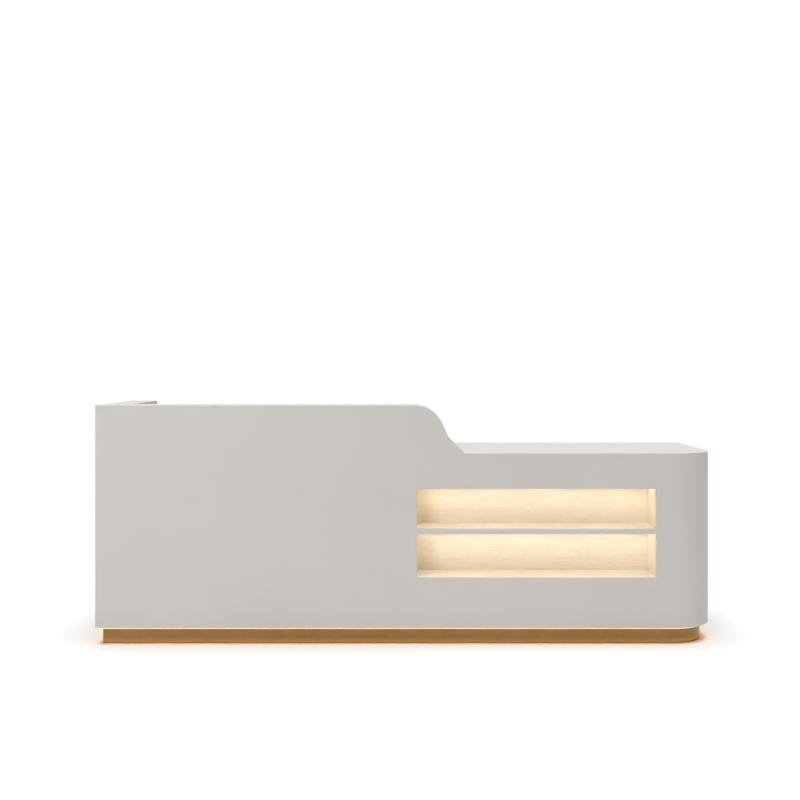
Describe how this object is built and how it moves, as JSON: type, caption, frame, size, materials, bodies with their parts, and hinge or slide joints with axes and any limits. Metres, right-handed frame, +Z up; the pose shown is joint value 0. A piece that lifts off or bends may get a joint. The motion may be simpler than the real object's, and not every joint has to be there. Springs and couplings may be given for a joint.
{
  "type": "checkout counter",
  "caption": "Shop checkout counter: high ledge with an S-curve down to a low worktop, round front corner, lit display niche, brass toe-kick, drawers and cupboard on the staff side.",
  "frame": {"origin": "on the floor, under the middle of the counter's length and depth", "axes": "+X to the customer's right along the counter, -Y towards the customer, +Y towards the staff, +Z up"},
  "size_m": [2.6, 0.65, 1],
  "materials": {
    "lacquer": "matt lacquered MDF",
    "maple": "pale maple decor, satin",
    "carcass_board": "melamine faced board",
    "plain_board": "unfinished plywood",
    "brass": "brushed, satin",
    "aluminium": "anodised",
    "steel": "zinc plated",
    "opal_diffuser": "opal, lit",
    "black_plastic": "moulded",
    "white_plastic": "moulded",
    "lead_sheath": "soft sheath"
  },
  "bodies": {
    "counter": {"base_board": "carcass_board", "bottom_drawer_runner_left": "steel", "bottom_drawer_runner_right": "steel", "cash_drawer_runner_left": "steel", "cash_drawer_runner_right": "steel", "corner_skin": "lacquer", "cupboard_back": "maple", "cupboard_divider": "maple", "cupboard_shelf": "maple", "cupboard_side": "maple", "front_ledge_cap": "lacquer", "front_skin": "lacquer", "grommet_ring": "white_plastic", "led_diffuser_lower": "opal_diffuser", "led_diffuser_upper": "opal_diffuser", "led_driver": "aluminium", "led_lead": "lead_sheath", "led_profile_lower": "aluminium", "led_profile_upper": "aluminium", "left_door_pivot_bottom": "steel", "left_door_pivot_top": "steel", "left_end_board": "lacquer", "left_inner_skin": "lacquer", "left_ledge_cap": "lacquer", "left_side_skin": "lacquer", "mains_lead": "lead_sheath", "middle_drawer_runner_left": "steel", "middle_drawer_runner_right": "steel", "niche_back": "maple", "niche_ceiling": "maple", "niche_floor": "maple", "niche_right_side": "maple", "niche_shelf": "maple", "open_bay_shelf": "maple", "pedestal_side": "carcass_board", "plinth_cladding": "brass", "plinth_frame": "plain_board", "plinth_light_strip": "opal_diffuser", "power_inlet": "black_plastic", "right_door_pivot_bottom": "steel", "right_door_pivot_top": "steel", "right_side_skin": "lacquer", "switch_body": "black_plastic", "tray_rail_left": "steel", "tray_rail_right": "steel", "wall_inner_skin": "lacquer", "worktop": "lacquer"},
    "cash_drawer": {"cash_drawer_front": "lacquer", "cash_drawer_box": "maple", "lock_barrel": "steel"},
    "lock_key_cylinder": {"lock_cylinder": "steel"},
    "middle_drawer": {"middle_drawer_front": "lacquer", "middle_drawer_box": "maple"},
    "bottom_drawer": {"bottom_drawer_front": "lacquer", "bottom_drawer_box": "maple"},
    "keyboard_tray": {"keyboard_tray": "lacquer"},
    "left_door": {"left_door": "lacquer"},
    "right_door": {"right_door": "lacquer"},
    "light_rocker": {"switch_rocker": "black_plastic"},
    "cable_cap": {"grommet_cap": "white_plastic"}
  },
  "joints": [
    {"name": "cash_drawer_slide", "type": "slide", "parent": "counter", "child": "cash_drawer", "axis": [0, 1, 0], "range_m": [0, 0.3]},
    {"name": "middle_drawer_slide", "type": "slide", "parent": "counter", "child": "middle_drawer", "axis": [0, 1, 0], "range_m": [0, 0.3]},
    {"name": "bottom_drawer_slide", "type": "slide", "parent": "counter", "child": "bottom_drawer", "axis": [0, 1, 0], "range_m": [0, 0.3]},
    {"name": "lock_turn", "type": "hinge", "parent": "cash_drawer", "child": "lock_key_cylinder", "pos_m": [-0.8713, 0.305, 0.752], "axis": [0, 1, 0], "range_deg": [0, 90]},
    {"name": "keyboard_tray_slide", "type": "slide", "parent": "counter", "child": "keyboard_tray", "axis": [0, 1, 0], "range_m": [0, 0.22]},
    {"name": "left_door_hinge", "type": "hinge", "parent": "counter", "child": "left_door", "pos_m": [0.057, 0.296, 0.0883], "axis": [0, 0, 1], "range_deg": [0, 100]},
    {"name": "right_door_hinge", "type": "hinge", "parent": "counter", "child": "right_door", "pos_m": [0.838, 0.296, 0.0883], "axis": [0, 0, -1], "range_deg": [0, 100]},
    {"name": "light_rocker_tilt", "type": "hinge", "parent": "counter", "child": "light_rocker", "pos_m": [0.027, 0.207, 0.685], "axis": [0, 1, 0], "range_deg": [-18, 0]},
    {"name": "cable_cap_lift", "type": "slide", "parent": "counter", "child": "cable_cap", "axis": [0, 0, 1], "range_m": [0, 0.03]}
  ]
}
